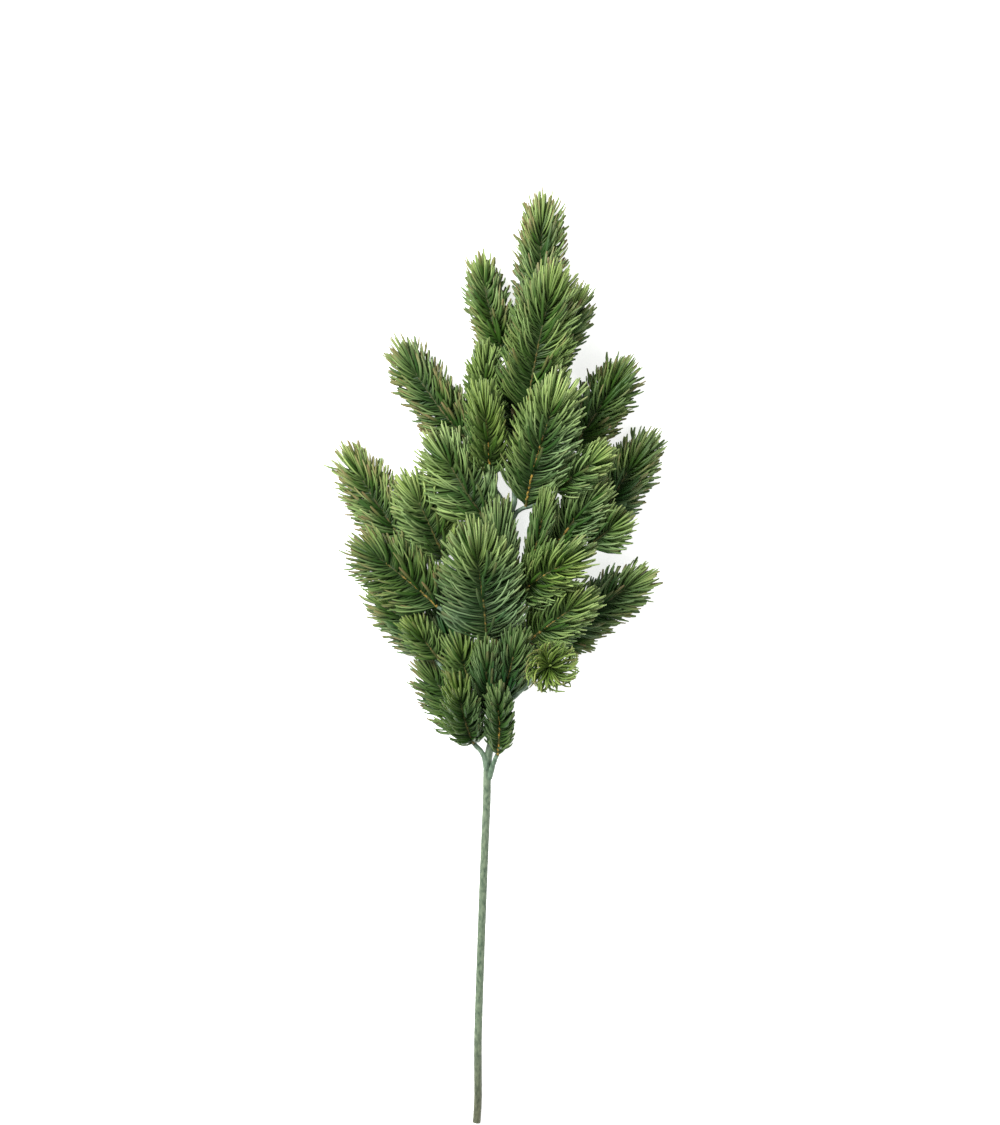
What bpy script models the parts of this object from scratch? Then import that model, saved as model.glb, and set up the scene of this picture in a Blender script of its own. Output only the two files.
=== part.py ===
"""Fir spray: a taped wire stem that lies on a table, with taped side wires and moulded needle sprigs.

Every sprig is one moulded piece pushed onto a wire. Its solid is the outer form of its needles: whorls of
forward-swept needle locks round a spine. The fine needles themselves are far smaller than these locks.

Frame: metres, +Z up off the table, +Y from the cut end of the stem to the crown, +X to the right as seen
from above. The origin is under the middle of the whole spray, on the table.
"""

from collections import namedtuple
from math import acos, atan2, cos, hypot, pi, sin, tau

import bmesh
import bpy
from mathutils import Matrix, Vector

MM = 0.001

# Driving dimensions, in millimetres.
STEM_RADIUS = 2.6
CROWN_RADIUS = 1.1
SOCKET_RADIUS = 1.5
GAP = 0.4

# Wire make-up.
WIRE_BEVEL_RESOLUTION = 2
WIRE_STEPS = 2

# Sprig make-up: each whorl is a ring in the valley and a ring of needle locks, swept forward by shares of
# the whorls' pitch.
WHORLS = 6
SHORT_SPRIG = 62
SHORT_SPRIG_WHORLS = 4
LOCKS = 4
SECTION_POINTS = 2 * LOCKS
FIRST_WHORL = 0.07
WHORLED_SHARE = 0.87
LOCK_SWEEP = 0.72
NOTCH_SWEEP = 0.38
VALLEY_SHARE = 0.56
NOTCH_SHARE = 0.66
SHOULDER = 0.3
SWELL_POWER = 1.2
CLOSING_START = 0.62
CLOSING_SHARE = 0.55

# The table top, which flattens the sprigs that press on it.
TABLE_SIZE = 1.2

# The tables below are drawn to the main wire, and this shift of the whole spray centres its box.
CENTRE_SHIFT = (0.32, 2.61, 0)

Wire = namedtuple("Wire", "name start_radius end_radius route")
Sprig = namedtuple("Sprig", "name wire point tip half_width half_height side_bow rise_bow")

# The main wire, from the cut end to the crown, in millimetres.
MAIN_STEM = [
    (-15, -313, 2.6),
    (-14, -295, 3.2),
    (-14, -257, 7),
    (-12, -196, 15),
    (-10, -142, 23),
    (-8, -95, 30),
    (-7, -67, 34),
    (-1, -44, 36),
    (4, -26, 37),
    (7, -5, 37),
    (9, 16, 37),
    (8, 36, 37),
    (5, 52, 37),
    (4, 65, 37),
    (4, 78, 38),
    (7, 90, 38),
    (10, 99, 38),
    (10, 110, 38),
    (11, 120, 38),
    (14, 134, 37),
    (17, 150, 37),
    (20, 168, 36),
    (22, 183, 35),
    (24, 199, 33),
    (26, 213, 30),
]

# The point of its route where the main wire starts to thin, at its first fork.
MAIN_STEM_FORK = 6

# The side wires, each from where it is taped beside the main wire to its end, in millimetres.
BRANCHES = [
    Wire("foot_right_branch", 1.5, 1.3, [(-3, -78, 35), (-2, -71, 38), (-1, -65, 40)]),
    Wire("foot_left_branch", 1.6, 1.4, [(-10, -71, 37), (-12, -65, 36), (-16, -59, 34), (-22, -51, 31)]),
    Wire(
        "low_left_branch",
        1.4,
        1.1,
        [(-6, -44, 37), (-10, -34, 36), (-18, -26, 35), (-27, -18, 33), (-37, -9, 31), (-44, 1, 27)],
    ),
    Wire(
        "mid_left_branch",
        1.4,
        1.1,
        [(2, -8, 38), (-2, 2, 39), (-8, 8, 40), (-19, 16, 39), (-31, 25, 38), (-40, 31, 38)],
    ),
    Wire(
        "far_left_branch",
        1.4,
        1.1,
        [(3, 37, 37), (-1, 45, 36), (-8, 52, 34), (-21, 58, 31), (-35, 61, 28), (-54, 63, 25)],
    ),
    Wire("short_left_branch", 1.3, 1.2, [(-1, 66, 39), (-2, 75, 41), (-5, 82, 44), (-9, 87, 46)]),
    Wire(
        "upper_left_branch",
        1.4,
        1.1,
        [
            (3, 90, 39),
            (2, 98, 40),
            (-2, 107, 39),
            (-6, 115, 38),
            (-9, 124, 38),
            (-14, 132, 36),
            (-21, 140, 32),
        ],
    ),
    Wire("top_left_branch", 1.2, 1.1, [(15, 158, 36), (11, 170, 35), (7, 184, 32), (4, 194, 29)]),
    Wire(
        "low_right_branch",
        1.8,
        1.4,
        [(3, -40, 40), (6, -32, 41), (11, -26, 42), (16, -21, 43), (23, -15, 44), (30, -9, 45)],
    ),
    Wire("mid_right_branch", 1.4, 1.1, [(11, -4, 36), (17, 7, 34), (30, 13, 31), (45, 16, 28)]),
    Wire(
        "far_right_branch",
        1.4,
        1.1,
        [(12, 31, 36), (18, 44, 35), (26, 52, 34), (38, 60, 33), (51, 69, 31), (62, 79, 28)],
    ),
    Wire(
        "upper_right_branch",
        1.4,
        1.1,
        [
            (10, 86, 38),
            (13, 92, 38),
            (17, 95, 39),
            (25, 99, 40),
            (33, 106, 41),
            (41, 120, 37),
            (48, 134, 31),
        ],
    ),
]

# The sprigs: the wire and the wire's point that each grows from, its tip, its half width and height,
# and how far its spine bows to its right and upwards, in millimetres.
SPRIGS = [
    Sprig("crown", "main_stem", 24, (29, 308, 1), 18, 10, 0, 0),
    Sprig("top_left", "top_left_branch", 3, (-12, 266, 20), 15, 9, -3, 0),
    Sprig("top_front", "main_stem", 20, (39, 256, 60), 22, 10, -2, 5),
    Sprig("top_right", "main_stem", 22, (56, 246, 20), 15, 9, 4, -2),
    Sprig("upper_left", "upper_left_branch", 6, (-69, 210, 16), 19, 10, -3, 0),
    Sprig("inner_left", "upper_left_branch", 4, (-9, 206, 42), 14, 8, 0, 0),
    Sprig("front_left", "upper_left_branch", 3, (-12, 180, 68), 11, 8, 1, 10),
    Sprig("inner_top", "main_stem", 19, (5, 192, 16), 13, 8, 0, -3),
    Sprig("front_right", "upper_right_branch", 2, (45, 184, 71), 22, 10, -3, 6),
    Sprig("upper_right", "upper_right_branch", 6, (89, 197, 18), 18, 10, 0, 0),
    Sprig("inner_right", "upper_right_branch", 4, (75, 136, 58), 13, 7, 1, 3),
    Sprig("middle_right", "far_right_branch", 2, (73, 115, 45), 16, 8, -3, 0),
    Sprig("far_right", "far_right_branch", 5, (106, 149, 1), 19, 10, -2, 0),
    Sprig("side_right", "far_right_branch", 4, (87, 95, 37), 14, 7, 2, 1),
    Sprig("centre_right", "main_stem", 11, (63, 71, 67), 18, 10, -2, 6),
    Sprig("low_front_right", "mid_right_branch", 1, (66, 43, 56), 17, 9, -1, 3),
    Sprig("low_right", "mid_right_branch", 3, (105, 56, 18), 17, 9, -1, 0),
    Sprig("under_right", "mid_right_branch", 1, (66, 8, 7), 12, 6, 0, -4),
    Sprig("upright", "low_right_branch", 5, (36, -4, 86), 17, 14, 0, 0),
    Sprig("centre_left", "short_left_branch", 3, (-46, 149, 45), 20, 10, -1, 1),
    Sprig("far_left", "far_left_branch", 5, (-104, 141, 1), 20, 10, -3, 0),
    Sprig("middle_left", "far_left_branch", 4, (-64, 121, 42), 18, 9, 1, 3),
    Sprig("front_centre", "mid_left_branch", 2, (-20, 91, 76), 27, 11, 2, 5),
    Sprig("side_left", "mid_left_branch", 5, (-99, 77, 40), 19, 10, 2, 1),
    Sprig("low_left", "low_left_branch", 5, (-89, 45, 1), 16, 9, 1, 0),
    Sprig("tuft_left", "low_left_branch", 4, (-64, 28, 37), 12, 8, 1, 2),
    Sprig("foot_left", "foot_left_branch", 3, (-56, 0, 16), 15, 9, 2, -1),
    Sprig("foot_front", "foot_left_branch", 2, (-28, -8, 64), 13, 10, -2, 6),
    Sprig("foot_right", "foot_right_branch", 2, (-3, -14, 57), 10, 9, 2, 4),
    Sprig("inner_low_left", "low_left_branch", 2, (-31, 18, 44), 13, 8, 1, 2),
    Sprig("back_centre", "mid_left_branch", 1, (0, 105, 52), 11, 5, 0, 0),
    Sprig("low_middle_left", "low_left_branch", 3, (-43, 47, 19), 11, 6, 3, 0),
    Sprig("inner_middle", "far_right_branch", 1, (33, 111, 54), 8, 4, 0, 2),
    Sprig("foot_middle", "low_left_branch", 0, (-10, 14, 58), 8, 5, 0, 2),
    Sprig("foot_centre", "main_stem", 7, (14, 20, 58), 10, 6, 0, 0),
    Sprig("under_foot", "main_stem", 8, (15, 27, 2), 14, 9, 1, -7),
    Sprig("under_centre", "main_stem", 12, (-14, 104, 16), 12, 8, -1, -4),
]


def clear_scene():
    """Removes what the scene held before."""
    for obj in list(bpy.data.objects):
        bpy.data.objects.remove(obj)


def new_collection(name):
    """Adds a collection to the scene."""
    collection = bpy.data.collections.new(name)
    bpy.context.scene.collection.children.link(collection)
    return collection


def new_material(name, colour, roughness):
    """Makes a plain plastic finish."""
    material = bpy.data.materials.new(name)
    material.use_nodes = True
    shader = material.node_tree.nodes["Principled BSDF"]
    shader.inputs["Base Color"].default_value = (*colour, 1)
    shader.inputs["Roughness"].default_value = roughness
    shader.inputs["Metallic"].default_value = 0
    return material


def smooth_route(points, steps):
    """Points along a smooth curve through the given ones, with this many steps to each stretch."""
    ends = [points[0], *points, points[-1]]
    route = []
    for before, start, end, after in zip(ends, ends[1:], ends[2:], ends[3:]):
        for step in range(steps):
            t = step / steps
            route.append(
                0.5
                * (
                    2 * start
                    + (end - before) * t
                    + (2 * before - 5 * start + 4 * end - after) * t**2
                    + (3 * start - before - 3 * end + after) * t**3
                )
            )
    return [*route, points[-1]]


def wire_radii(wire, thick_until=0):
    """A wire's radius at each point of its route: even up to the point it starts to thin from."""
    last = len(wire.route) - 1
    thinning = [max(0, i - thick_until) / (last - thick_until) for i in range(last + 1)]
    return [wire.start_radius + (wire.end_radius - wire.start_radius) * share for share in thinning]


def add_wire(wire, radii, material, collection, parent):
    """A taped wire: a round tube along the route, with a radius in millimetres at each of its points."""
    curve = bpy.data.curves.new(wire.name, "CURVE")
    curve.dimensions = "3D"
    curve.bevel_depth = MM
    curve.bevel_resolution = WIRE_BEVEL_RESOLUTION
    curve.use_fill_caps = True
    spline = curve.splines.new("POLY")
    centres = smooth_route([Vector(p) for p in wire.route], WIRE_STEPS)
    sizes = smooth_route(radii, WIRE_STEPS)
    spline.points.add(len(centres) - 1)
    for point, centre, size in zip(spline.points, centres, sizes):
        point.co = (*(centre * MM), 1)
        point.radius = size
    curve.materials.append(material)
    tube = bpy.data.objects.new(wire.name, curve)
    tube.parent = parent
    collection.objects.link(tube)


def spine_place(sprig, length, share):
    """Where a sprig's spine is at this share of its length, in the sprig's own frame, in millimetres."""
    bulge = 4 * share * (1 - share)
    return Vector((sprig.side_bow * bulge, length * share, sprig.rise_bow * bulge))


def spine_direction(sprig, length, share):
    """Which way a sprig's spine runs at this share of its length, in the sprig's own frame."""
    slope = 4 * (1 - 2 * share)
    return Vector((sprig.side_bow * slope, length, sprig.rise_bow * slope)).normalized()


def outline(share):
    """The needles' reach round the spine, as a share of the widest: it swells, then rounds off."""
    swell = min(1, share / SHOULDER)
    closing = max(0, (share - CLOSING_START) / (1 - CLOSING_START))
    return sin(swell * pi / 2) ** SWELL_POWER * (1 - CLOSING_SHARE * closing**2)


def ring_point(sprig, length, start, pitch, ring, around):
    """A point of a sprig's surface. Ring 0 is the socket's rim; each whorl is a valley and a lock ring."""
    turn = tau * around / SECTION_POINTS
    if ring == 0:
        share, across, upward = 0.0, SOCKET_RADIUS, SOCKET_RADIUS
    else:
        whorl, is_lock_ring = divmod(ring - 1, 2)
        share = FIRST_WHORL + pitch * whorl
        is_lock = (around + whorl) % 2 == 0
        if is_lock_ring:
            share += pitch * (LOCK_SWEEP if is_lock else NOTCH_SWEEP)
        reach = outline(share)
        if is_lock_ring:
            reach *= 1 if is_lock else NOTCH_SHARE
        else:
            reach *= VALLEY_SHARE
        across = max(SOCKET_RADIUS, sprig.half_width * reach)
        upward = max(SOCKET_RADIUS, sprig.half_height * reach)
    along = start + (1 - start) * share
    forward = spine_direction(sprig, length, along)
    side = forward.cross(Vector((0, 0, 1))).normalized()
    up = side.cross(forward)
    return spine_place(sprig, length, along) + side * across * sin(turn) + up * upward * cos(turn)


def sprig_mesh(sprig, length, start, material):
    """A sprig's solid: a ball whose rings are drawn out into whorls of needle locks along the spine."""
    whorls = WHORLS if length > SHORT_SPRIG else SHORT_SPRIG_WHORLS
    rings = 2 * whorls + 1
    shape = bmesh.new()
    bmesh.ops.create_uvsphere(shape, u_segments=SECTION_POINTS, v_segments=rings + 1, radius=1)
    for point in shape.verts:
        ring = round(acos(max(-1.0, min(1.0, -point.co.z))) / pi * (rings + 1)) - 1
        around = round(atan2(point.co.y, point.co.x) / tau * SECTION_POINTS) % SECTION_POINTS
        if ring < 0:
            point.co = spine_place(sprig, length, start) * MM
        elif ring == rings:
            point.co = spine_place(sprig, length, 1) * MM
        else:
            point.co = ring_point(sprig, length, start, WHORLED_SHARE / whorls, ring, around) * MM
    mesh = bpy.data.meshes.new(sprig.name + "_sprig")
    shape.to_mesh(mesh)
    shape.free()
    mesh.materials.append(material)
    return mesh


def wire_direction(route, point):
    """Which way a wire runs at one of its points."""
    before = route[max(0, point - 1)]
    after = route[min(len(route) - 1, point + 1)]
    return (Vector(after) - Vector(before)).normalized()


def clear_distance(direction, wire_way, wire_radius, at_end):
    """How far from a wire's centre line a sprig's socket starts, so that its rim clears the wire by GAP."""
    angle = direction.angle(wire_way)
    if at_end:
        return GAP + (SOCKET_RADIUS + wire_radius) * sin(angle)
    return (wire_radius + GAP + SOCKET_RADIUS * abs(cos(angle))) / sin(angle)


def add_sprig(sprig, wires, material, collection, parent):
    """A sprig on its wire, turned so that its own +Y runs from the wire to the sprig's tip."""
    route, radii = wires[sprig.wire]
    foot = Vector(route[sprig.point])
    reach = Vector(sprig.tip) - foot
    heading = atan2(-reach.x, reach.y)
    rise = atan2(reach.z, hypot(reach.x, reach.y))
    turn = Matrix.Rotation(heading, 3, "Z") @ Matrix.Rotation(rise, 3, "X")
    leaving = turn @ spine_direction(sprig, reach.length, 0)
    at_end = sprig.point == len(route) - 1
    distance = clear_distance(leaving, wire_direction(route, sprig.point), radii[sprig.point], at_end)
    mesh = sprig_mesh(sprig, reach.length, distance / reach.length, material)
    body = bpy.data.objects.new(sprig.name + "_sprig", mesh)
    body.location = foot * MM
    body.rotation_euler = (rise, 0, heading)
    body.parent = parent
    collection.objects.link(body)
    return body


def add_table_cutter(collection):
    """A block whose top is the table, for flattening what presses on it."""
    bpy.ops.mesh.primitive_cube_add(size=TABLE_SIZE, location=(0, 0, -TABLE_SIZE / 2))
    cutter = bpy.context.object
    cutter.name = "table_cutter"
    cutter.hide_render = True
    cutter.display_type = "WIRE"
    for old in list(cutter.users_collection):
        old.objects.unlink(cutter)
    collection.objects.link(cutter)
    return cutter


def flatten_on_table(body, cutter):
    """Cuts off what would reach below the table top, as a flat contact face."""
    cut = body.modifiers.new("table", "BOOLEAN")
    cut.operation = "DIFFERENCE"
    cut.solver = "EXACT"
    cut.object = cutter


def lowest_point(body):
    """The height of a body's lowest corner above the table."""
    bpy.context.view_layer.update()
    return min((body.matrix_world @ corner.co).z for corner in body.data.vertices)


def main():
    clear_scene()
    spray = new_collection("fir_spray")
    cutters = new_collection("cutters")
    stem_tape = new_material("stem_tape", (0.2, 0.3, 0.18), 0.6)
    wire_tape = new_material("wire_tape", (0.1, 0.22, 0.14), 0.5)
    needles = new_material("needle_plastic", (0.08, 0.16, 0.05), 0.5)
    hanger = bpy.data.objects.new("fir_spray_frame", None)
    hanger.location = Vector(CENTRE_SHIFT) * MM
    spray.objects.link(hanger)
    cutter = add_table_cutter(cutters)

    stem = Wire("main_stem", STEM_RADIUS, CROWN_RADIUS, MAIN_STEM)
    stem_radii = wire_radii(stem, MAIN_STEM_FORK)
    add_wire(stem, stem_radii, stem_tape, spray, hanger)

    wires = {stem.name: (stem.route, stem_radii)}
    for branch in BRANCHES:
        radii = wire_radii(branch)
        wires[branch.name] = (branch.route, radii)
        add_wire(branch, radii, wire_tape, spray, hanger)

    for sprig in SPRIGS:
        body = add_sprig(sprig, wires, needles, spray, hanger)
        if lowest_point(body) < 0:
            flatten_on_table(body, cutter)


main()
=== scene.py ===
"""A dressed fir spray: taped wires and moulded needle sprigs on a pale floor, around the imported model."""

from collections import namedtuple
from math import pi

import bmesh
import bpy
import numpy as np
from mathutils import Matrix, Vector


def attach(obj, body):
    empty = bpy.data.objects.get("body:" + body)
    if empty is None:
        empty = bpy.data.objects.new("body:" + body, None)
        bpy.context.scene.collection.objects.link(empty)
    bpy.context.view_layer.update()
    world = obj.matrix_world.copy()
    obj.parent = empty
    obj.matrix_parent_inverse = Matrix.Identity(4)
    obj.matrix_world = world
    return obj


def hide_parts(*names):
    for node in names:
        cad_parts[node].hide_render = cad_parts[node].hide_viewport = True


MM = 0.001

# ---------------------------------------------------------------------------------------------------------
# The look of each sprig:
#   needle    its needles' length in millimetres
#   fresh     how yellow their green is
#   light     how pale they are, partly their own tone and partly painted shade on sprigs that lie low or under others
#   tan       how many of them have brown tips
#   gold      how golden the spine is
#   bare      how far up the spine shows
#   flat      how much the needles lie to the sides, from 0 for all round to 1
#   shoulder  how far up the sprig reaches its width, as a share of its length
#   spread    how far out the needles reach, as a share of its plain form's half width
#   sweep     how far forward its lowest needles point at least, as a share of their length
#   crowd     how many times as many needles as usual it has

Look = namedtuple(
    "Look",
    "needle fresh light tan gold bare flat shoulder spread sweep crowd",
    defaults=(22, 0.5, 0.5, 0.1, 0.4, 0.4, 0.6, 0.16, 1.0, 0.85, 1.0),
)

# Low light values are painted shade on the sprigs that lie low or under others, such as the under_ ones.
SPRIG_LOOKS = {
    "crown": Look(needle=22, fresh=0.5, light=0.4, tan=0.5, gold=0.1),
    "top_left": Look(needle=19, fresh=0.5, light=0.5, tan=0.35, gold=0.1),
    "top_front": Look(needle=26, fresh=0.6, light=0.45, tan=0.2, gold=0.25, spread=1.06),
    "top_right": Look(needle=21, fresh=0.5, light=0.5, tan=0.3, gold=0.1),
    "upper_left": Look(needle=22, fresh=0.5, light=0.42, tan=0.5, gold=0.1),
    "inner_left": Look(needle=16, fresh=0.6, light=0.3),
    "front_left": Look(needle=20, fresh=0.6, light=0.35, gold=1.0, bare=0.7, spread=1.1),
    "inner_top": Look(needle=18, fresh=0.5, light=0.35, tan=0.4, gold=1.0, spread=1.2),
    "front_right": Look(needle=25, fresh=0.45, light=0.65, gold=1.0, shoulder=0.3, spread=1.06),
    "upper_right": Look(needle=22, fresh=0.45, light=0.15, tan=0.3, gold=0.1, spread=1.08),
    "inner_right": Look(needle=18, fresh=0.6, light=0.5, gold=0.3),
    "middle_right": Look(needle=20, fresh=0.5, light=0.4, gold=0.9, spread=1.08),
    "far_right": Look(needle=22, fresh=0.4, light=0.32, tan=0.25, gold=0.2, spread=1.06),
    "side_right": Look(needle=20, fresh=0.6, light=0.5, gold=0.2, spread=1.15),
    "centre_right": Look(needle=22, fresh=0.55, light=0.45, gold=1.0),
    "low_front_right": Look(needle=22, fresh=0.7, light=0.4, gold=0.6, spread=1.08),
    "low_right": Look(needle=21, fresh=0.4, light=0.25, tan=0.25, gold=0.1, spread=1.08),
    "under_right": Look(needle=15, fresh=0.3, light=0.1, tan=0.3),
    "upright": Look(needle=23, fresh=0.8, light=0.4, tan=0.3, gold=0.8, flat=0.0, crowd=1.6),
    "centre_left": Look(needle=26, fresh=0.45, light=0.7, gold=0.15, spread=1.2),
    "far_left": Look(needle=22, fresh=0.6, light=0.6, tan=0.6, gold=0.15),
    "middle_left": Look(needle=22, fresh=0.55, light=0.8, gold=0.2, spread=1.12),
    "front_centre": Look(needle=28, fresh=0.35, light=0.6, gold=0.4, spread=1.06),
    "side_left": Look(needle=23, fresh=0.55, light=0.3, tan=0.3, gold=0.6, spread=1.2),
    "low_left": Look(needle=19, fresh=0.35, light=0.3, tan=0.4),
    "tuft_left": Look(needle=16, fresh=0.8, light=0.35, gold=0.4),
    "foot_left": Look(
        needle=21, fresh=0.55, light=0.15, tan=0.35, gold=0.7, shoulder=0.2, spread=1.15, sweep=0.4
    ),
    "foot_front": Look(needle=18, fresh=0.6, light=0.15, tan=0.1, gold=0.3, sweep=0.6),
    "foot_right": Look(needle=14, fresh=0.5, light=0.15, gold=1.0, shoulder=0.3),
    "foot_middle": Look(needle=18, fresh=0.35, light=0.2, spread=1.3),
    "foot_centre": Look(needle=19, fresh=0.3, light=0.18, gold=0.5, spread=1.2),
    "inner_low_left": Look(needle=19, fresh=0.6, light=0.28, spread=1.15),
    "inner_middle": Look(needle=17, fresh=0.4, light=0.25, gold=0.9),
    "low_middle_left": Look(needle=25, fresh=0.35, light=0.15, spread=1.3),
    "back_centre": Look(needle=26, fresh=0.15, light=0.35, gold=0.1, spread=1.25),
    "under_foot": Look(needle=17, fresh=0.3, light=0.05),
    "under_centre": Look(needle=18, fresh=0.3, light=0.05, spread=1.3),
}

# ---------------------------------------------------------------------------------------------------------
# Needles. Lengths are in millimetres, and shares run from a sprig's foot to its last needles.

NEEDLES_PER_MM = 6.8
NEEDLE_WIDTH = 1.2
NEEDLE_THICKNESS = 0.8
NEEDLE_POINTS = 6
NEEDLE_SIDES = 6

# How much a needle's length differs, and up to which share the lowest are shorter, and by how much.
NEEDLE_LENGTHS = (0.88, 1.05)
SHORTER_TO = 0.25
SHORTER_BY = 0.88

# How far before the sprig's tip the last needles are rooted, as a share of their length.
LAST_NEEDLE = 0.96

# Each needle leans this share of the whole range further than the last one, so that they spread evenly.
GOLDEN_SECTION = 0.618034

# The needles' leans, in degrees up from the sprig's side: the lowest, the highest along the bare spine and
# past it, what roundness adds to that, and the highest over the last shares. The lean blends over this much
# of the sprig where its bare spine ends.
LOWEST_LEAN = -82.0
HIGHEST_LEANS = (26.0, 46.0)
BARE_BLEND = (-0.15, 0.15)
ROUNDNESS_LEAN = 40.0
LAST_SHARES = (0.7, 0.95)
LAST_LEANS = (30.0, 88.0)

# A sprig between these roundnesses turns from a neat one into a loose bundle. The power crowds a neat one's
# needles at its underside. A loose one's rise higher, sway by up to so many degrees and curl to one side.
LOOSENING = (0.5, 1.0)
CROWDED_BELOW = 1.3
LOOSE_RISE = 1.35
SWAY = (4.0, 25.0)
CURL = (-0.4, 0.8)

# About how far ahead of its root a needle's tip stands at the sprig's foot and at its end, as shares of its
# length.
TIP_AHEAD = (0.5, 0.85)

# The form that the tips reach: it swells from the foot by this power of a sine, and from this share of the
# sprig's length on it closes in by this share of its width.
SWELL_POWER = 0.8
CLOSING_START = 0.62
CLOSING_SHARE = 0.12

# How unevenly the tips reach it to the sides and upwards, and over which shares the needles fill its end.
REACH_ACROSS = (0.74, 1.1)
REACH_UP = (0.8, 1.1)
END_FILLED = (0.72, 0.95)

# A few needles cross over the spine: how many, how far across, and how high over it.
STRAY_SHARE = 0.045
STRAY_ACROSS = 1.7
STRAY_HEIGHT = 1.05

# How far forward a needle points at least, as a share of its length. Below SWEEP_SHARE of the sprig it goes
# over into what the sprig's look says.
LEAST_SWEEP = 0.55
SWEEP_SHARE = 0.3

# Where a needle's corner stands between its root and its tip, from the softest bend to the hardest.
CORNER_OUT = (0.62, 0.8)
CORNER_UP = (0.5, 0.8)
CORNER_ON = (0.4, 0.26)

# Needles that lean below the first angle, in radians, lie deep and are darkened by painted shade; those
# above the second aren't.
DEEP_LEANS = (-0.6, 0.5)
DEPTH_SHADES = (0.08, 1.05)

# Past this share a sprig's needles are young, so fresher and paler.
YOUNG_FROM = 0.55

# How far a needle is twisted, in radians, and how high it is held off the table.
TWIST = (-0.6, 0.6)
REST_HEIGHTS = (0.8, 2.4)

# Up to ROOT_END a needle is thinner, and from TIP_START on it narrows to its tip. Between these depths, the
# deep needles are thicker and the shallow ones plain.
ROOT_END = 0.15
ROOT_THICKNESS = 0.7
TIP_START = 0.88
TIP_THICKNESS = 0.5
THICKER_DEPTHS = (0.3, 0.8)
THICKER = (1.75, 1.0)

# ---------------------------------------------------------------------------------------------------------
# Spines and wires, in millimetres.

SPINE_FOOT_RADIUS = 1.0
SPINE_END_RADIUS = 0.4
SPINE_POINTS = 20
SPINE_STEP = 0.9
SPINE_SIDES = 8
SOCKET_OVERLAP = 1.2
KNOB_SCALE = 500.0
KNOB_HEIGHT = 1.6

WIRE_SIDES = 14
WIRE_STEP = 0.7
CRINKLE_SCALE = 400.0

# How far apart the tape's laps are and how high they stand.
STEM_LAPS = (8.0, 0.1)
SIDE_LAPS = (6.0, 0.16)

# Each turn's lap rises over this share of it and then falls away.
LAP_EDGE = 0.1

# How far back along the main wire a side wire's tape begins.
FORK_RUN = 4.0

# Over this first stretch of a side wire, the tape holds it closer to the main wire, by this share.
FORK_STRETCH = 15.0
FORK_HELD = 0.6

# How far in towards the main wire a side wire's tape begins, as a share of the way between the two.
FORK_SINK = 0.2

# How much thicker the tape is along a side wire's first points.
FORK_SWELL = (1.2, 1.45, 1.45, 1.3, 1.1)

# The solids' points that are closer than this are one, and this many of them stand round each ring.
WELD_DISTANCE = 0.01
SOLID_SIDES = 8

# Each sprig draws its random numbers from its own hundred.
SEED_STEP = 100

# ---------------------------------------------------------------------------------------------------------
# Colours. Pairs run from blue green to yellow green on the needles, and from dark to pale on the tape.

# On the needles the deep greens are partly painted shade, and the pale greens partly a painted highlight.
DEEP_GREENS = ((0.010, 0.050, 0.013, 1), (0.036, 0.086, 0.006, 1))
PALE_GREENS = ((0.285, 0.430, 0.235, 1), (0.405, 0.540, 0.120, 1))
YOUNG_TIP = (0.500, 0.570, 0.240, 1)
# The needles' root colour is painted shade where they crowd round the spine.
NEEDLE_ROOT_SHADE = (0.010, 0.027, 0.006, 1)
DRY_TIP = (0.230, 0.165, 0.075, 1)
SPINE_OLIVE = (0.055, 0.062, 0.018, 1)
SPINE_GOLD = (0.430, 0.265, 0.050, 1)
TAPE_GREEN = ((0.020, 0.052, 0.028, 1), (0.190, 0.280, 0.180, 1))
TAPE_BLEACHED = ((0.036, 0.072, 0.040, 1), (0.205, 0.265, 0.165, 1))
TAPE_WORN = ((0.026, 0.035, 0.016, 1), (0.130, 0.140, 0.078, 1))
FLOOR_GREY = ((0.90, 0.90, 0.90, 1), (0.93, 0.93, 0.93, 1))

# Heights up the spray, in metres, between which the stem's tape turns from bleached to green, and further
# down, near its cut end, from worn to bleached.
BLEACHED_TO = (-0.085, -0.04)
WORN_TO = (-0.3, -0.24)

# ---------------------------------------------------------------------------------------------------------
# The studio, in metres.

CAMERA_HEIGHT = 1.535
VIEW_CENTRE = (0.00096, 0.06261)
LENS_MM = 73.62
FLOOR_HALF_WIDTH = 4.0
FLOOR_GLOW = 0.7
SURROUND_STRENGTH = 0.5

# Each lamp's place, width and power in watts.
LAMPS = {
    "key": ((-1.1, 0.9, 1.7), 0.9, 78),
    "fill": ((1.4, -0.6, 1.6), 1.4, 8),
}


# ---------------------------------------------------------------------------------------------------------
# Node trees


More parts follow.
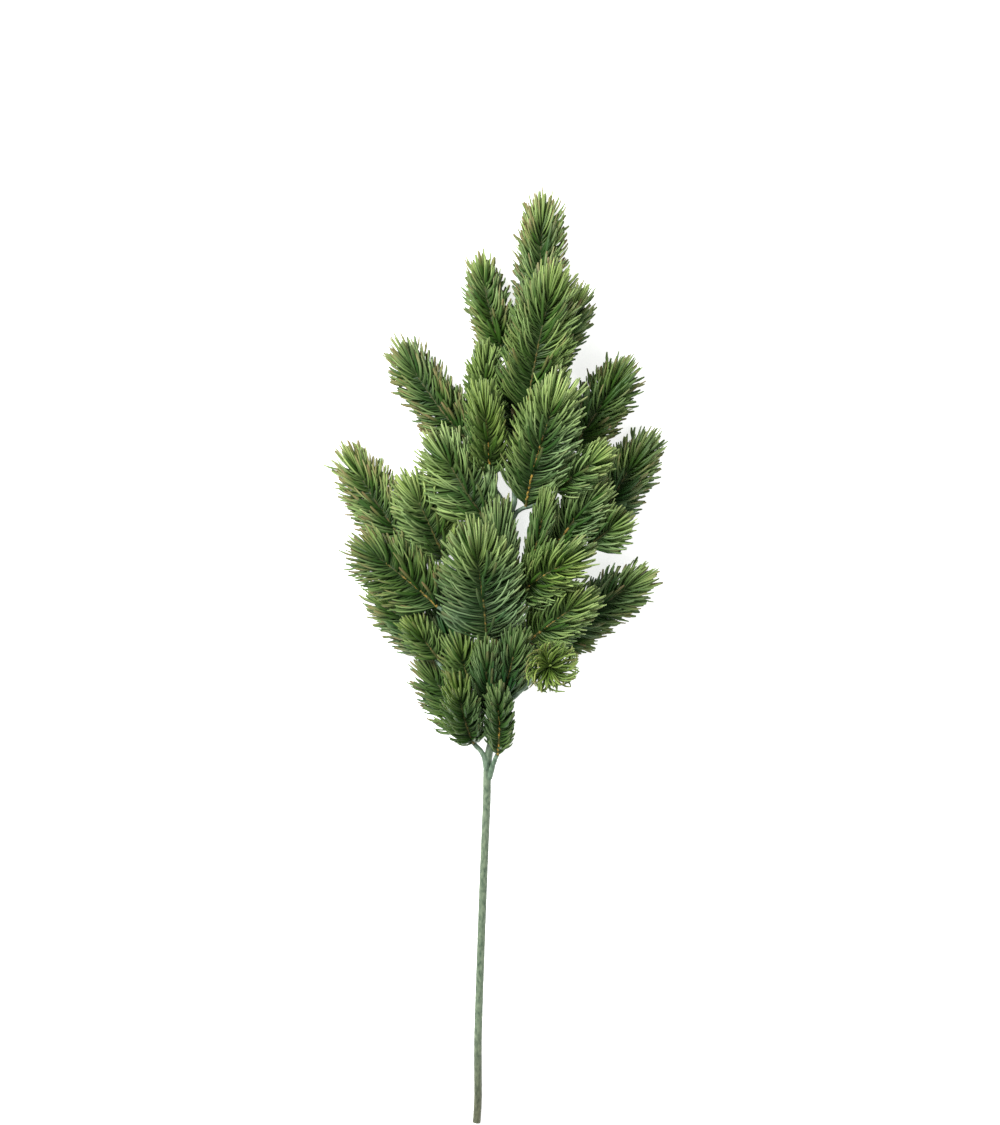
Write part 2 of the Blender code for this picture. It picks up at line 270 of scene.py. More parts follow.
class Steps:
    """Adds nodes to a tree one step at a time: a given socket is linked, any other value is set."""

    def __init__(self, tree):
        self.tree = tree

    def add(self, kind, inputs, **settings):
        node = self.tree.nodes.new(kind)
        for name, value in settings.items():
            setattr(node, name, value)
        for key, value in inputs.items():
            if isinstance(value, bpy.types.NodeSocket):
                self.tree.links.new(value, node.inputs[key])
            else:
                node.inputs[key].default_value = value
        return node

    def source(self, kind, output=0):
        """An output of a node that is given nothing."""
        return self.tree.nodes.new(kind).outputs[output]

    def math(self, operation, *values):
        return self.add("ShaderNodeMath", dict(enumerate(values)), operation=operation).outputs[0]

    def product(self, *values):
        total = values[0]
        for value in values[1:]:
            total = self.math("MULTIPLY", total, value)
        return total

    def total(self, *values):
        total = values[0]
        for value in values[1:]:
            total = self.math("ADD", total, value)
        return total

    def minus(self, value, other):
        return self.math("SUBTRACT", value, other)

    def between(self, value, span, ends=(0.0, 1.0), kind="LINEAR"):
        """value's place in a span, turned into one between two ends, and held there."""
        inputs = dict(enumerate((value, *span, *ends)))
        return self.add("ShaderNodeMapRange", inputs, interpolation_type=kind).outputs[0]

    def blend(self, factor, first, second):
        """A number between two others."""
        return self.add("ShaderNodeMix", {0: factor, 2: first, 3: second}).outputs[0]

    def vector(self, operation, *values):
        node = self.add("ShaderNodeVectorMath", dict(enumerate(values)), operation=operation)
        return node.outputs["Value" if operation == "DOT_PRODUCT" else "Vector"]

    def scaled(self, vector, factor):
        return self.add("ShaderNodeVectorMath", {0: vector, 3: factor}, operation="SCALE").outputs[0]

    def summed(self, *vectors):
        total = vectors[0]
        for vector in vectors[1:]:
            total = self.vector("ADD", total, vector)
        return total

    def parts_of(self, vector):
        """A vector's x, y and z."""
        return self.add("ShaderNodeSeparateXYZ", {0: vector}).outputs

    def random(self, low, high, seed):
        """An even random number between low and high, one for each point."""
        return self.add("FunctionNodeRandomValue", {2: low, 3: high, 8: seed}, data_type="FLOAT").outputs[1]

    def kept(self, geometry, name, value, data_type="FLOAT"):
        """The same geometry with value kept on its points as a named attribute."""
        inputs = {"Geometry": geometry, "Name": name, "Value": value}
        node = self.add("GeometryNodeStoreNamedAttribute", inputs, data_type=data_type, domain="POINT")
        return node.outputs[0]

    def named(self, name, data_type="FLOAT"):
        """A named attribute's value."""
        return self.add("GeometryNodeInputNamedAttribute", {0: name}, data_type=data_type).outputs[0]

    def ring(self, sides):
        """A round profile of radius 1."""
        return self.add("GeometryNodeCurvePrimitiveCircle", {"Resolution": sides, "Radius": 1.0}).outputs[0]

    def swept(self, curve, profile, scale):
        """A closed mesh with this profile along a curve."""
        inputs = {"Curve": curve, "Profile Curve": profile, "Scale": scale, "Fill Caps": True}
        return self.add("GeometryNodeCurveToMesh", inputs).outputs[0]

    def lifted(self, mesh, height):
        """A mesh with its points moved out along their normals."""
        offset = self.scaled(self.source("GeometryNodeInputNormal"), height)
        return self.add("GeometryNodeSetPosition", {"Geometry": mesh, "Offset": offset}).outputs[0]

    def coated(self, mesh, material):
        """A mesh shaded smooth, in this material."""
        mesh = self.add("GeometryNodeSetShadeSmooth", {"Geometry": mesh}).outputs[0]
        return self.add("GeometryNodeSetMaterial", {0: mesh, 2: material}).outputs[0]

    def joined(self, *parts):
        node = self.tree.nodes.new("GeometryNodeJoinGeometry")
        for part in parts:
            self.tree.links.new(part, node.inputs[0])
        return node.outputs[0]

    def mixed(self, factor, colours):
        """A colour between two others."""
        inputs = {0: factor, 6: colours[0], 7: colours[1]}
        return self.add("ShaderNodeMix", inputs, data_type="RGBA", clamp_factor=True).outputs[2]

    def attribute(self, name):
        """A named attribute's value in a material."""
        return self.add("ShaderNodeAttribute", {}, attribute_name=name).outputs["Fac"]

    def place(self):
        """Where a point is, in the piece's own coordinates."""
        return self.add("ShaderNodeTexCoord", {}).outputs["Object"]

    def noise(self, scale, detail, stretch=(1, 1, 1)):
        """Smooth noise on the piece's own coordinates, in spots about 1 / scale metres wide."""
        place = self.add("ShaderNodeMapping", {"Vector": self.place(), "Scale": stretch}).outputs[0]
        inputs = {"Vector": place, "Scale": scale, "Detail": detail}
        return self.add("ShaderNodeTexNoise", inputs).outputs[0]


def new_tree(name, inputs):
    """A geometry tree with these inputs (name, kind) after its geometry, with its steps and its inputs."""
    tree = bpy.data.node_groups.new(name, "GeometryNodeTree")
    tree.interface.new_socket("Geometry", in_out="OUTPUT", socket_type="NodeSocketGeometry")
    for title, kind in [("Geometry", "Geometry"), *inputs]:
        tree.interface.new_socket(title, in_out="INPUT", socket_type="NodeSocket" + kind)
    return tree, Steps(tree), tree.nodes.new("NodeGroupInput").outputs


def finish_tree(steps, geometry):
    """Ends a tree: makes its geometry real and passes it out."""
    real = steps.add("GeometryNodeRealizeInstances", {0: geometry}).outputs[0]
    steps.tree.links.new(real, steps.tree.nodes.new("NodeGroupOutput").inputs[0])


def grow(name, tree, mesh, values):
    """Runs a tree on a mesh with these values for its named inputs, and returns a plain mesh's object."""
    seedling = bpy.data.objects.new(name + "_seed", mesh)
    bpy.context.scene.collection.objects.link(seedling)
    modifier = seedling.modifiers.new("grow", "NODES")
    modifier.node_group = tree
    for item in tree.interface.items_tree:
        if item.item_type == "SOCKET" and item.in_out == "INPUT" and item.name in values:
            modifier[item.identifier] = values[item.name]
    graph = bpy.context.evaluated_depsgraph_get()
    grown = bpy.data.meshes.new_from_object(
        seedling.evaluated_get(graph), preserve_all_data_layers=True, depsgraph=graph
    )
    grown.name = name
    bpy.data.objects.remove(seedling)
    piece = bpy.data.objects.new(name, grown)
    bpy.context.scene.collection.objects.link(piece)
    return piece


# ---------------------------------------------------------------------------------------------------------
# Materials


def new_material(name):
    """An empty node material. Returns it with its steps and its shader."""
    material = bpy.data.materials.new(name)
    material.use_nodes = True
    return material, Steps(material.node_tree), material.node_tree.nodes["Principled BSDF"]


def coat(steps, shader, colour, roughness, specular=None):
    """Gives a shader its colour and gloss."""
    steps.tree.links.new(colour, shader.inputs["Base Color"])
    shader.inputs["Roughness"].default_value = roughness
    if specular is not None:
        shader.inputs["Specular IOR Level"].default_value = specular


def add_bump(steps, shader, height, distance, strength):
    """Gives a shader fine relief from a height."""
    inputs = {"Height": height, "Distance": distance, "Strength": strength}
    steps.tree.links.new(steps.add("ShaderNodeBump", inputs).outputs[0], shader.inputs["Normal"])


def needle_plastic():
    """Moulded needles: painted shade makes them nearly black at the root and underneath, and a painted
    highlight makes them paler towards the tip, where they are also yellower.
    """
    material, steps, shader = new_material("needle_plastic")
    along, young, light = steps.attribute("along"), steps.attribute("young"), steps.attribute("light")
    patches = steps.between(steps.noise(scale=22.0, detail=1.0), (0.3, 0.7), (-0.25, 0.25))
    fresh = steps.total(steps.attribute("fresh"), patches, steps.product(young, 0.25))
    deep, pale = steps.mixed(fresh, DEEP_GREENS), steps.mixed(fresh, PALE_GREENS)
    # How pale each needle is: its own random tone, mottling and youth, plus a painted highlight that grows
    # along it towards the tip. All of it is dimmed by the sprig's light, which is partly painted shade, and
    # by painted shade on needles underneath.
    share = steps.total(
        steps.product(steps.math("POWER", steps.attribute("tone"), 2.0), 0.7),
        steps.product(steps.noise(scale=45.0, detail=2.0), 0.15),
        steps.between(along, (0.3, 1.0), (0.0, 0.5), "SMOOTHSTEP"),
        steps.product(young, 0.15),
    )
    share = steps.product(share, steps.total(light, 0.15), steps.attribute("depth_shade"))
    colour = steps.mixed(share, (deep, pale))
    tip = steps.product(steps.between(along, (0.7, 1.0), (0.0, 0.45)), young, steps.total(light, 0.1))
    colour = steps.mixed(tip, (colour, YOUNG_TIP))
    # Painted shade darkens each needle towards its root.
    colour = steps.mixed(steps.between(along, (0.0, 0.4), (0.85, 0.0)), (colour, NEEDLE_ROOT_SHADE))
    dry = steps.minus(steps.attribute("tan"), steps.attribute("chance"))
    dry = steps.product(steps.between(dry, (-0.1, 0.3), (0.0, 0.85)), steps.between(along, (0.5, 1.0)))
    coat(steps, shader, steps.mixed(dry, (colour, DRY_TIP)), roughness=0.38, specular=0.2)
    add_bump(steps, shader, steps.attribute("ridge"), distance=0.3 * MM, strength=0.5)
    return material


def spine_plastic():
    """The moulded spine: olive, with golden knots that thin out towards the tip."""
    material, steps, shader = new_material("spine_plastic")
    thinning = steps.between(steps.attribute("along"), (0.3, 0.9), (1.0, 0.3))
    knots = steps.between(steps.noise(scale=420.0, detail=1.0), (0.5, 0.6), (0.05, 1.0))
    share = steps.product(steps.attribute("gold"), thinning, knots)
    coat(steps, shader, steps.mixed(share, (SPINE_OLIVE, SPINE_GOLD)), roughness=0.6, specular=0.25)
    add_bump(steps, shader, steps.noise(scale=900.0, detail=3.0), distance=0.4 * MM, strength=0.6)
    return material


def wound_tape(name, fades=()):
    """Crinkled tape wound round a wire, mottled, and paler on its raised edges.

    Each fade is two heights up the spray, and the tape's tones below them.
    """
    material, steps, shader = new_material(name)
    mottle = steps.product(steps.noise(scale=600.0, detail=4.0, stretch=(1, 0.4, 1)), 0.9)
    edge = steps.product(steps.attribute("lap"), 0.05)
    share = steps.between(steps.total(mottle, edge), (0.26, 0.7))
    colour = steps.mixed(share, TAPE_GREEN)
    height = steps.parts_of(steps.place())[1]
    for heights, tones in fades:
        below = steps.between(height, heights, (1.0, 0.0))
        colour = steps.mixed(below, (colour, steps.mixed(share, tones)))
    coat(steps, shader, colour, roughness=0.5)
    add_bump(steps, shader, steps.noise(scale=1500.0, detail=3.0), distance=0.4 * MM, strength=0.5)
    return material


def floor_paper():
    """A plain pale floor, lit a little from within like a light table."""
    material, steps, shader = new_material("floor_paper")
    coat(steps, shader, steps.mixed(steps.noise(scale=3.0, detail=1.0), FLOOR_GREY), roughness=0.9)
    shader.inputs["Emission Color"].default_value = (1, 1, 1, 1)
    shader.inputs["Emission Strength"].default_value = FLOOR_GLOW
    return material


# ---------------------------------------------------------------------------------------------------------
# How a sprig grows

SPRIG_SIZES = ["Half Width", "Half Height", "Sprig Length", "Last Root", "Needle Length", "Bare Spine"]
SPRIG_SIZES += ["Flatness", "Shoulder", "Sweep"]
SPRIG_TONES = ["Fresh", "Light", "Tan", "Gold"]


def needle_points(steps, given, spine):
    """A point for each needle, which keeps the needle's root, corner and tip and how it looks."""

    def draw(number, low=0.0, high=1.0):
        """An even random number for each needle: the sprig's draw of this number."""
        return steps.random(low, high, steps.total(given["Seed"], number))

    # Where each needle's root is, and which ways are forward, to the side and up from there.
    index = steps.source("GeometryNodeInputIndex")
    share = steps.math("DIVIDE", steps.total(index, draw(1)), given["Needle Count"])
    station = steps.product(share, given["Last Root"])
    sample = {"Curves": spine, "Factor": station}
    sample = steps.add("GeometryNodeSampleCurve", sample, mode="FACTOR").outputs
    root, forward = sample["Position"], steps.vector("NORMALIZE", sample["Tangent"])
    side = steps.scaled(forward, steps.vector("DOT_PRODUCT", given["Side"], forward))
    side = steps.vector("NORMALIZE", steps.vector("SUBTRACT", given["Side"], side))
    up = steps.vector("CROSS_PRODUCT", side, forward)

    # How far up it leans, to which hand, and how long it is.
    roundness = steps.minus(1.0, given["Flatness"])
    loose = steps.between(roundness, LOOSENING)
    highest = steps.between(steps.minus(share, given["Bare Spine"]), BARE_BLEND, HIGHEST_LEANS)
    highest = steps.total(highest, steps.product(roundness, ROUNDNESS_LEAN))
    highest = steps.math("MAXIMUM", highest, steps.between(share, LAST_SHARES, LAST_LEANS))
    turn = steps.math("FRACT", steps.product(index, GOLDEN_SECTION))
    turn = steps.math("POWER", turn, steps.between(roundness, LOOSENING, (CROWDED_BELOW, 1.0)))
    sway = steps.product(steps.between(loose, (0.0, 1.0), SWAY), draw(13, -1.0, 1.0))
    lean = steps.total(steps.between(turn, (0.0, 1.0), (LOWEST_LEAN, highest)), sway)
    lean = steps.math("RADIANS", lean)
    hand = steps.minus(steps.product(steps.math("MODULO", index, 2.0), 2.0), 1.0)
    shorter = steps.between(share, (0.0, SHORTER_TO), (SHORTER_BY, 1.0))
    needle = steps.product(given["Needle Length"], draw(2, *NEEDLE_LENGTHS), shorter)

    # The form that the tips reach: it swells from the foot and rounds off at the end.
    ahead = steps.product(needle, steps.between(share, (0.0, 1.0), TIP_AHEAD))
    tip_share = steps.total(station, steps.math("DIVIDE", ahead, given["Sprig Length"]))
    swell = steps.math("SINE", steps.between(tip_share, (0.0, given["Shoulder"]), (0.0, pi / 2)))
    closing = steps.math("POWER", steps.between(tip_share, (CLOSING_START, 1.0)), 2.0)
    reach = steps.minus(1.0, steps.product(closing, CLOSING_SHARE))
    reach = steps.product(reach, steps.math("POWER", swell, SWELL_POWER))
    filled = steps.blend(steps.between(share, END_FILLED), 1.0, draw(4))
    cosine, sine = steps.math("COSINE", lean), steps.math("SINE", lean)
    across = steps.product(given["Half Width"], cosine, draw(3, *REACH_ACROSS), reach, filled)
    higher = steps.between(loose, (0.0, 1.0), (1.0, LOOSE_RISE))
    rise = steps.product(given["Half Height"], higher, sine, draw(5, *REACH_UP), reach)

    # A few needles cross over the spine.
    stray = steps.math("LESS_THAN", draw(6), STRAY_SHARE)
    across = steps.product(across, steps.minus(1.0, steps.product(stray, STRAY_ACROSS)), hand)
    rise = steps.blend(stray, rise, steps.product(given["Half Height"], STRAY_HEIGHT))

    # Each needle is a bend from its root by way of a corner to its tip.
    aside = steps.total(steps.math("POWER", across, 2.0), steps.math("POWER", rise, 2.0))
    left = steps.minus(steps.math("POWER", needle, 2.0), aside)
    least = steps.between(share, (0.0, SWEEP_SHARE), (given["Sweep"], LEAST_SWEEP))
    least = steps.math("POWER", steps.product(needle, least), 2.0)
    ahead = steps.math("SQRT", steps.math("MAXIMUM", left, least))
    out, lift, on = steps.scaled(side, across), steps.scaled(up, rise), steps.scaled(forward, ahead)
    curl = steps.product(draw(12, *CURL), loose)
    curl = steps.scaled(steps.vector("CROSS_PRODUCT", steps.summed(out, lift), forward), curl)
    bend = draw(7)
    corner = steps.summed(
        root,
        steps.scaled(out, steps.between(bend, (0.0, 1.0), CORNER_OUT)),
        steps.scaled(lift, steps.between(bend, (0.0, 1.0), CORNER_UP)),
        steps.scaled(on, steps.between(bend, (0.0, 1.0), CORNER_ON)),
        curl,
    )
    points = steps.add("GeometryNodePoints", {0: given["Needle Count"]}).outputs[0]
    ends = {"root": root, "corner": corner, "tip": steps.summed(root, out, lift, on)}
    for name, value in ends.items():
        points = steps.kept(points, name, value, "FLOAT_VECTOR")
    looks = {
        "tone": draw(8),
        # Painted shade for needles that lie deep under the others; loose sprigs get none.
        "depth_shade": steps.math("MAXIMUM", steps.between(lean, DEEP_LEANS, DEPTH_SHADES), loose),
        "young": steps.between(share, (YOUNG_FROM, 1.0)),
        "chance": draw(9),
        "twist": draw(10, *TWIST),
        "rest": draw(11, REST_HEIGHTS[0] * MM, REST_HEIGHTS[1] * MM),
    }
    for name, value in looks.items():
        points = steps.kept(points, name, value)
    return points


def needle_blades(steps, points):
    """The needles themselves: flat blades with blunt tips, held above the table they press on."""
    line = steps.source("GeometryNodeCurvePrimitiveLine")
    line = steps.add("GeometryNodeResampleCurve", {0: line, 2: NEEDLE_POINTS}).outputs[0]
    blades = steps.add("GeometryNodeInstanceOnPoints", {0: points, 2: line}).outputs[0]
    blades = steps.add("GeometryNodeRealizeInstances", {0: blades}).outputs[0]
    factor = steps.source("GeometryNodeSplineParameter", "Factor")
    blades = steps.kept(blades, "along", steps.math("SINE", steps.product(factor, pi / 2)))
    along = steps.named("along")
    back = steps.minus(1.0, along)
    way = steps.summed(
        steps.scaled(steps.named("root", "FLOAT_VECTOR"), steps.math("POWER", back, 2.0)),
        steps.scaled(steps.named("corner", "FLOAT_VECTOR"), steps.product(along, back, 2.0)),
        steps.scaled(steps.named("tip", "FLOAT_VECTOR"), steps.math("POWER", along, 2.0)),
    )
    x, y, z = steps.parts_of(way)
    held = {0: x, 1: y, 2: steps.math("MAXIMUM", z, steps.named("rest"))}
    way = steps.add("ShaderNodeCombineXYZ", held).outputs[0]
    blades = steps.add("GeometryNodeSetPosition", {"Geometry": blades, "Position": way}).outputs[0]
    blades = steps.add("GeometryNodeSetCurveNormal", {0: blades}, mode="Z_UP").outputs[0]
    inputs = {"Curve": blades, "Tilt": steps.named("twist")}
    blades = steps.add("GeometryNodeSetCurveTilt", inputs).outputs[0]
    near_root = steps.between(along, (0.0, ROOT_END), (ROOT_THICKNESS, 1.0))
    near_tip = steps.between(along, (TIP_START, 1.0), (1.0, TIP_THICKNESS))
    thicker = steps.between(steps.named("depth_shade"), THICKER_DEPTHS, THICKER)
    thickness = steps.product(steps.math("MINIMUM", near_root, near_tip), thicker)
    across = steps.parts_of(steps.source("GeometryNodeInputPosition"))[0]
    ridge = steps.minus(1.0, steps.math("ABSOLUTE", across))
    outline = steps.kept(steps.ring(NEEDLE_SIDES), "ridge", ridge)
    size = (NEEDLE_WIDTH / 2 * MM, NEEDLE_THICKNESS / 2 * MM, 1)
    outline = steps.add("GeometryNodeTransform", {"Geometry": outline, "Scale": size}).outputs[0]
    return steps.swept(blades, outline, thickness)


def knobbed_spine(steps, given, spine):
    """The spine up to its last needles, knobbed where they leave it."""
    core = {0: spine, 2: 0.0, 3: given["Last Root"]}
    core = steps.add("GeometryNodeTrimCurve", core, mode="FACTOR").outputs[0]
    core = steps.add("GeometryNodeResampleCurve", {0: core, 3: SPINE_STEP * MM}, mode="LENGTH").outputs[0]
    factor = steps.source("GeometryNodeSplineParameter", "Factor")
    core = steps.kept(core, "along", factor)
    radius = steps.between(factor, (0.0, 1.0), (SPINE_FOOT_RADIUS * MM, SPINE_END_RADIUS * MM))
    core = steps.swept(core, steps.ring(SPINE_SIDES), radius)
    knobs = steps.add("ShaderNodeTexNoise", {"Scale": KNOB_SCALE, "Detail": 1.0}).outputs[0]
    return steps.lifted(core, steps.product(steps.minus(knobs, 0.5), KNOB_HEIGHT * MM))


def sprig_tree():
    """A tree that grows a moulded sprig on its spine: needles in ranks to both sides, swept forward."""
    inputs = [("Needle Count", "Int"), ("Side", "Vector")]
    inputs += [(title, "Float") for title in SPRIG_SIZES + SPRIG_TONES]
    inputs += [("Seed", "Int"), ("Needle Material", "Material"), ("Spine Material", "Material")]
    tree, steps, given = new_tree("needle_sprig", inputs)
    spine = steps.add("GeometryNodeMeshToCurve", {0: given["Geometry"]}).outputs[0]
    blades = needle_blades(steps, needle_points(steps, given, spine))
    blades = steps.coated(blades, given["Needle Material"])
    core = steps.coated(knobbed_spine(steps, given, spine), given["Spine Material"])
    sprig = steps.joined(core, blades)
    for title in SPRIG_TONES:
        sprig = steps.kept(sprig, title.lower(), given[title])
    finish_tree(steps, sprig)
    return tree


def wire_tree():
    """A tree that winds tape round a wire: a fine tube with a raised lap at each turn."""
    inputs = [("Step", "Float"), ("Lap Pitch", "Float"), ("Lap Height", "Float"), ("Tape", "Material")]
    tree, steps, given = new_tree("taped_wire", inputs)
    wire = steps.add("GeometryNodeMeshToCurve", {0: given["Geometry"]}).outputs[0]
    wire = steps.add("GeometryNodeCurveSplineType", {0: wire}, spline_type="CATMULL_ROM").outputs[0]
    wire = steps.add("GeometryNodeResampleCurve", {0: wire, 3: given["Step"]}, mode="LENGTH").outputs[0]
    wire = steps.kept(wire, "travel", steps.source("GeometryNodeSplineParameter", "Length"))
    ring = steps.kept(steps.ring(WIRE_SIDES), "turn", steps.source("GeometryNodeSplineParameter", "Factor"))
    tube = steps.swept(wire, ring, steps.named("thickness"))
    turns = steps.math("DIVIDE", steps.named("travel"), given["Lap Pitch"])
    laps = steps.math("FRACT", steps.minus(turns, steps.named("turn")))
    rising = steps.between(laps, (0.0, LAP_EDGE))
    falling = steps.between(laps, (LAP_EDGE, 1.0), (1.0, 0.0))
    tube = steps.kept(tube, "lap", steps.math("MINIMUM", rising, falling))
    crinkle = steps.add("ShaderNodeTexNoise", {"Scale": CRINKLE_SCALE, "Detail": 2.0}).outputs[0]
    height = steps.product(steps.total(steps.named("lap"), steps.minus(crinkle, 0.5)), given["Lap Height"])
    finish_tree(steps, steps.coated(steps.lifted(tube, height), given["Tape"]))
    return tree


# ---------------------------------------------------------------------------------------------------------
# The frame's solids, read as routes


def welded(node):
    """A node's own points, as rows, and for each point the points that an edge joins it to."""
    shape = bmesh.new()
    shape.from_mesh(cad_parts[node].data)
    bmesh.ops.remove_doubles(shape, verts=shape.verts, dist=WELD_DISTANCE * MM)
    shape.verts.index_update()
    points = np.array([v.co for v in shape.verts])
    joined = [[e.other_vert(v).index for e in v.link_edges] for v in shape.verts]
    shape.free()
    return points, joined


def rings_of(points, joined, start):
    """A tube's points in rings, from the start points onwards."""
    rings, seen = [sorted(start)], set(start)
    while True:
        ring = sorted({other for point in rings[-1] for other in joined[point]} - seen)
        if not ring:
            return [points[ring] for ring in rings]
        rings.append(ring)
        seen.update(ring)


def wire_route(node):
    """A wire's centres and radii, from its thicker end, read from its solid's rings."""
    points, joined = welded(node)
    heading = np.linalg.svd(points - points.mean(0), full_matrices=False)[2][0]
    order = np.argsort((points - points.mean(0)) @ heading)
    ends = []
    for cap in (order[:SOLID_SIDES], order[-SOLID_SIDES:]):
        centre = points[cap].mean(0)
        ends.append((np.linalg.norm(points[cap] - centre, axis=1).mean(), cap))
    cap = max(ends, key=lambda end: end[0])[1]
    rings = rings_of(points, joined, [int(i) for i in cap])
    centres = np.array([ring.mean(0) for ring in rings])
    radii = np.array([np.linalg.norm(ring - c, axis=1).mean() for ring, c in zip(rings, centres)])
    return centres, radii


def bulge(shares):
    """How far a bow stands out along its length: nothing at its ends, all of it in the middle."""
    return 4 * shares * (1 - shares)


def sprig_form(node):
    """A sprig's foot, directions, length, bows and half sizes, read from its solid's rings.

    The socket's rim is the one group of neighbours that all stand equally far from their middle.
    """
    points, joined = welded(node)
    apart = np.linalg.norm(points[:, None] - points[None], axis=2)
    groups = np.argsort(apart, axis=1)[:, :SOLID_SIDES]
    spread = np.linalg.norm(points[groups] - points[groups].mean(1, keepdims=True), axis=2)
    socket = groups[np.argmin(np.ptp(spread, axis=1))]
    foot = points[socket].mean(0)
    tip = points[np.argmax(np.linalg.norm(points - foot, axis=1))]
    length = np.linalg.norm(tip - foot)
    forward = (tip - foot) / length
    side = np.cross(forward, (0, 0, 1))
    side /= np.linalg.norm(side)
    up = np.cross(side, forward)
    rings = rings_of(points, joined, [int(i) for i in socket])
    middles = np.array([ring.mean(0) for ring in rings if len(ring) == SOLID_SIDES]) - foot
    rounded = bulge(middles @ forward / length)
    bows = [float(rounded @ (middles @ way) / (rounded @ rounded)) for way in (side, up)]
    rounded = bulge((points - foot) @ forward / length)
    half_width = np.abs((points - foot) @ side - bows[0] * rounded).max()
    half_height = ((points - foot) @ up - bows[1] * rounded).max()
    return foot, forward, side, up, length, bows, half_width, half_height


# ---------------------------------------------------------------------------------------------------------
# The spray


def polyline(name, points, thickness=None):
    """A mesh of one open line through these points, with a thickness kept on each."""
    mesh = bpy.data.meshes.new(name)
    mesh.from_pydata([tuple(p) for p in points], [(i, i + 1) for i in range(len(points) - 1)], [])
    if thickness is not None:
        kept = mesh.attributes.new("thickness", "FLOAT", "POINT")
        kept.data.foreach_set("value", np.asarray(thickness, np.float32))
    return mesh


def joined_to(stem, route):
    """A side wire's route, begun a little lower and inside the main wire, so that one tape covers both."""
    line, centres = stem[0], route[0]
    steps = np.diff(line, axis=0)
    along = ((centres[:, None] - line[:-1]) * steps).sum(2) / (steps**2).sum(1)
    nearest = line[:-1] + steps * np.clip(along, 0, 1)[..., None]
    best = np.argmin(np.linalg.norm(centres[:, None] - nearest, axis=2), axis=1)
    apart = centres - nearest[np.arange(len(centres)), best]
    run = np.linalg.norm(centres - centres[0], axis=1)
    held = FORK_HELD * np.clip(1 - run / (FORK_STRETCH * MM), 0, 1)
    centres = centres - apart * held[:, None]
    back = steps[best[0]] / np.linalg.norm(steps[best[0]]) * FORK_RUN * MM
    start = [centres[0] - share * (apart[0] * FORK_SINK + back) for share in (1, 0.5)]
    radii = np.concatenate([[route[1][0]] * 2, route[1]])
    radii[: len(FORK_SWELL)] *= FORK_SWELL
    return np.vstack([start, centres]), radii


def dress(piece, node):
    """Says which node a piece takes the place of and what it moves with."""
    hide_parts(node)
    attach(piece, "root")


def add_wire(node, tree, tape, route, laps):
    """Puts finely wound tape in place of a wire's plain solid."""
    values = {"Step": WIRE_STEP * MM, "Lap Pitch": laps[0] * MM, "Lap Height": laps[1] * MM, "Tape": tape}
    piece = grow(node + "_tape", tree, polyline(node + "_line", *route), values)
    dress(piece, node)


def add_sprig(node, seed, tree, needle_material, spine_material):
    """Puts a sprig of single needles in place of a sprig's plain solid."""
    look = SPRIG_LOOKS[node.removesuffix("_sprig")]
    foot, forward, side, up, length, bows, half_width, half_height = sprig_form(node)
    shares = np.linspace(-SOCKET_OVERLAP * MM / length, 1, SPINE_POINTS)[:, None]
    rounded = bulge(shares)
    spine = foot + forward * length * shares + side * bows[0] * rounded + up * bows[1] * rounded
    last = 1 - LAST_NEEDLE * look.needle * MM / length
    values = {
        "Needle Count": round(NEEDLES_PER_MM * look.crowd * last * length / MM),
        "Side": tuple(side),
        "Half Width": half_width * look.spread,
        "Half Height": half_height,
        "Sprig Length": length,
        "Last Root": last,
        "Needle Length": look.needle * MM,
        "Bare Spine": look.bare,
        "Flatness": look.flat,
        "Shoulder": look.shoulder,
        "Sweep": look.sweep,
        "Fresh": look.fresh,
        "Light": look.light,
        "Tan": look.tan,
        "Gold": look.gold,
        "Seed": seed,
        "Needle Material": needle_material,
        "Spine Material": spine_material,
    }
    piece = grow(node.replace("_sprig", "_needles"), tree, polyline(node + "_line", spine), values)
    dress(piece, node)


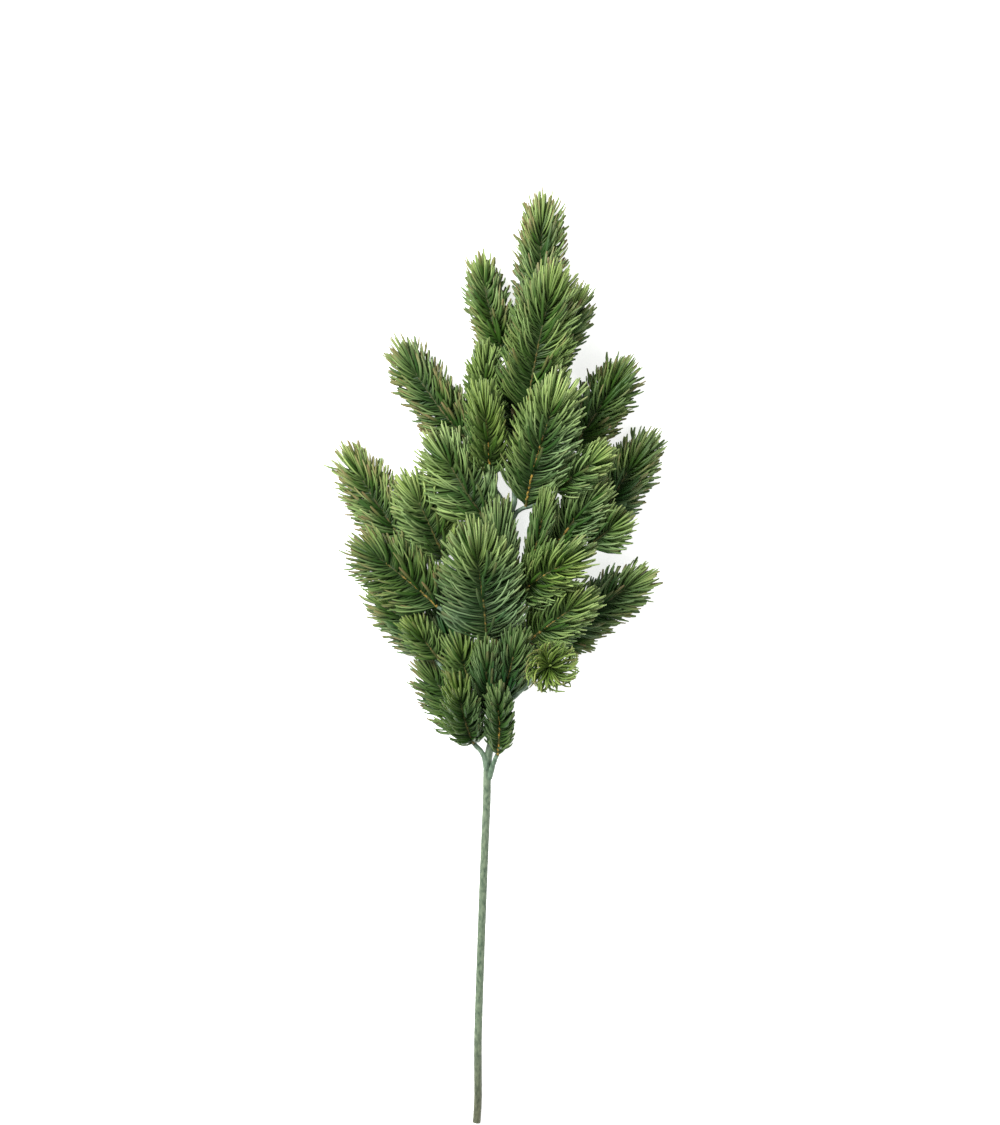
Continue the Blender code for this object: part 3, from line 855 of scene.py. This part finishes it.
def add_spray():
    """Dresses every wire and every sprig."""
    tree = wire_tree()
    stem_tape = wound_tape("stem_tape", [(BLEACHED_TO, TAPE_BLEACHED), (WORN_TO, TAPE_WORN)])
    side_tape = wound_tape("wire_tape")
    stem = wire_route("main_stem")
    add_wire("main_stem", tree, stem_tape, stem, STEM_LAPS)
    for node in sorted(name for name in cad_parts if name.endswith("_branch")):
        add_wire(node, tree, side_tape, joined_to(stem, wire_route(node)), SIDE_LAPS)
    tree, needle_material, spine_material = sprig_tree(), needle_plastic(), spine_plastic()
    for number, name in enumerate(SPRIG_LOOKS):
        add_sprig(name + "_sprig", SEED_STEP * (number + 1), tree, needle_material, spine_material)


def add_floor():
    """A wide pale floor under the spray."""
    mesh = bpy.data.meshes.new("floor")
    size = FLOOR_HALF_WIDTH
    corners = [(-size, -size, 0), (size, -size, 0), (size, size, 0), (-size, size, 0)]
    mesh.from_pydata(corners, [], [(0, 1, 2, 3)])
    mesh.materials.append(floor_paper())
    floor = bpy.data.objects.new("floor", mesh)
    bpy.context.scene.collection.objects.link(floor)


def add_light(name, place, size, power):
    """A soft square lamp that faces the middle of the spray."""
    data = bpy.data.lights.new(name, "AREA")
    data.size, data.energy = size, power
    lamp = bpy.data.objects.new(name, data)
    lamp.location = place
    lamp.rotation_euler = (-Vector(place)).to_track_quat("-Z", "Y").to_euler()
    bpy.context.scene.collection.objects.link(lamp)


def add_studio():
    """Soft light from the upper left, with an even white surround."""
    world = bpy.data.worlds.new("surround")
    world.use_nodes = True
    world.node_tree.nodes["Background"].inputs["Color"].default_value = (1, 1, 1, 1)
    world.node_tree.nodes["Background"].inputs["Strength"].default_value = SURROUND_STRENGTH
    bpy.context.scene.world = world
    bpy.context.scene.view_settings.view_transform = "Standard"
    for name, (place, size, power) in LAMPS.items():
        add_light(name, place, size, power)


def add_camera():
    """A camera straight above the spray."""
    data = bpy.data.cameras.new("camera")
    data.lens = LENS_MM
    camera = bpy.data.objects.new("camera", data)
    camera.location = (*VIEW_CENTRE, CAMERA_HEIGHT)
    bpy.context.scene.collection.objects.link(camera)
    bpy.context.scene.camera = camera


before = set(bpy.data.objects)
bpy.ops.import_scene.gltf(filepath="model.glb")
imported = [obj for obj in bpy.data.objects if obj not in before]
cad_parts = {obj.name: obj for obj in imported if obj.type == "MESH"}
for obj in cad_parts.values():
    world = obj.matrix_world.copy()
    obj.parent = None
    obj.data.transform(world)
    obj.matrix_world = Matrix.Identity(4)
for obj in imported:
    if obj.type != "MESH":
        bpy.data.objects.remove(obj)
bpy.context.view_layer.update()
add_floor()
add_studio()
add_camera()
add_spray()
